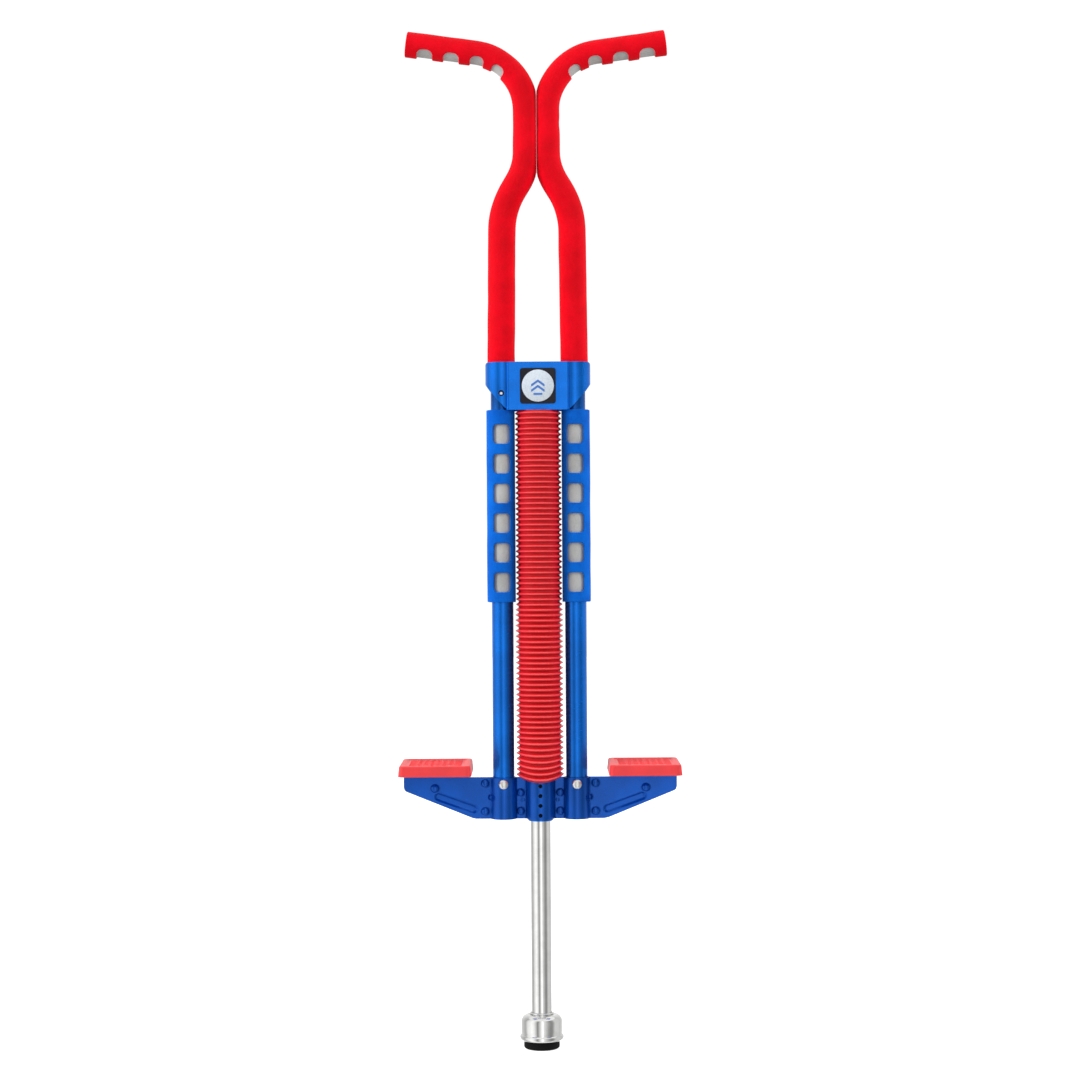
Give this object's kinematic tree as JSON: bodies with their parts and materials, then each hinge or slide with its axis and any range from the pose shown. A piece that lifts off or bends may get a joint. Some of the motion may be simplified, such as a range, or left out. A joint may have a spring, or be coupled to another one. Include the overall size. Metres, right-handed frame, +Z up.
{
  "type": "pogo stick",
  "caption": "Spring pogo stick with bent foam-grip handles, twin frame tubes, a ribbed spring cover, fixed pedals and a sliding, turning plunger with a rubber tip.",
  "frame": {"origin": "on the ground under the middle of the rubber tip, which is the bottom centre of the whole box", "axes": "+Z up along the plunger, +X to the right across the pedals, the badge side faces -Y"},
  "size_m": [0.2858, 0.088, 1.0368],
  "materials": {
    "blue_paint": "glossy metallic blue powder coat",
    "zinc_steel": "bright zinc plate",
    "chrome": "polished chrome",
    "red_foam": "matte skinned EVA foam",
    "blue_foam": "matte skinned EVA foam",
    "grey_foam": "matte grey EVA foam",
    "red_cover": "glossy soft plastic",
    "red_tread": "satin moulded plastic",
    "black_plastic": "moulded black plastic",
    "white_plastic": "printed white plastic",
    "nylon": "natural nylon",
    "black_rubber": "moulded black rubber"
  },
  "bodies": {
    "frame": {"badge_disc": "white_plastic", "badge_plate": "black_plastic", "bracket_screw_left": "zinc_steel", "bracket_screw_right": "zinc_steel", "crown_plate": "blue_paint", "foot_plate_front": "blue_paint", "foot_plate_rear": "blue_paint", "frame_tube_left": "blue_paint", "frame_tube_right": "blue_paint", "grip_core_left": "grey_foam", "grip_core_right": "grey_foam", "grip_foam_left": "red_foam", "grip_foam_right": "red_foam", "guide_bushing": "nylon", "guide_sleeve": "blue_paint", "handle_plug_left": "black_plastic", "handle_plug_right": "black_plastic", "handle_tube_left": "zinc_steel", "handle_tube_right": "zinc_steel", "pad_core_left": "grey_foam", "pad_core_right": "grey_foam", "pad_foam_left": "blue_foam", "pad_foam_right": "blue_foam", "pedal_platform_left": "blue_paint", "pedal_platform_right": "blue_paint", "pedal_screw_left_front": "zinc_steel", "pedal_screw_left_rear": "zinc_steel", "pedal_screw_right_front": "zinc_steel", "pedal_screw_right_rear": "zinc_steel", "pedal_tread_left": "red_tread", "pedal_tread_right": "red_tread", "rebound_bumper": "black_rubber", "rivet_01": "blue_paint", "rivet_02": "blue_paint", "rivet_03": "blue_paint", "rivet_04": "blue_paint", "rivet_05": "blue_paint", "rivet_06": "blue_paint", "rivet_07": "blue_paint", "rivet_08": "blue_paint", "rivet_09": "blue_paint", "rivet_10": "blue_paint", "spring": "zinc_steel", "spring_cover": "red_cover", "tube_bolt_left": "zinc_steel", "tube_bolt_right": "zinc_steel", "tube_collar_left": "black_plastic", "tube_collar_right": "black_plastic", "tube_nut_left": "zinc_steel", "tube_nut_right": "zinc_steel", "upper_bracket_front": "blue_paint", "upper_bracket_rear": "blue_paint"},
    "spring_seat": {"spring_washer": "zinc_steel"},
    "plunger": {"plunger_tube": "chrome", "cross_pin": "zinc_steel", "plunger_cap": "black_plastic", "neck_ring": "chrome", "tip_cup": "chrome", "rubber_tip": "black_rubber"}
  },
  "joints": [
    {"name": "plunger_slide", "type": "slide", "parent": "frame", "child": "spring_seat", "axis": [0, 0, 1], "range_m": [0, 0.13], "stiffness_N_per_m": 8000, "springref_m": -0.01, "deforming": ["spring"]},
    {"name": "plunger_turn", "type": "hinge", "parent": "spring_seat", "child": "plunger", "pos_m": [0, 0, 0.2941], "axis": [0, 0, 1], "continuous": true}
  ]
}
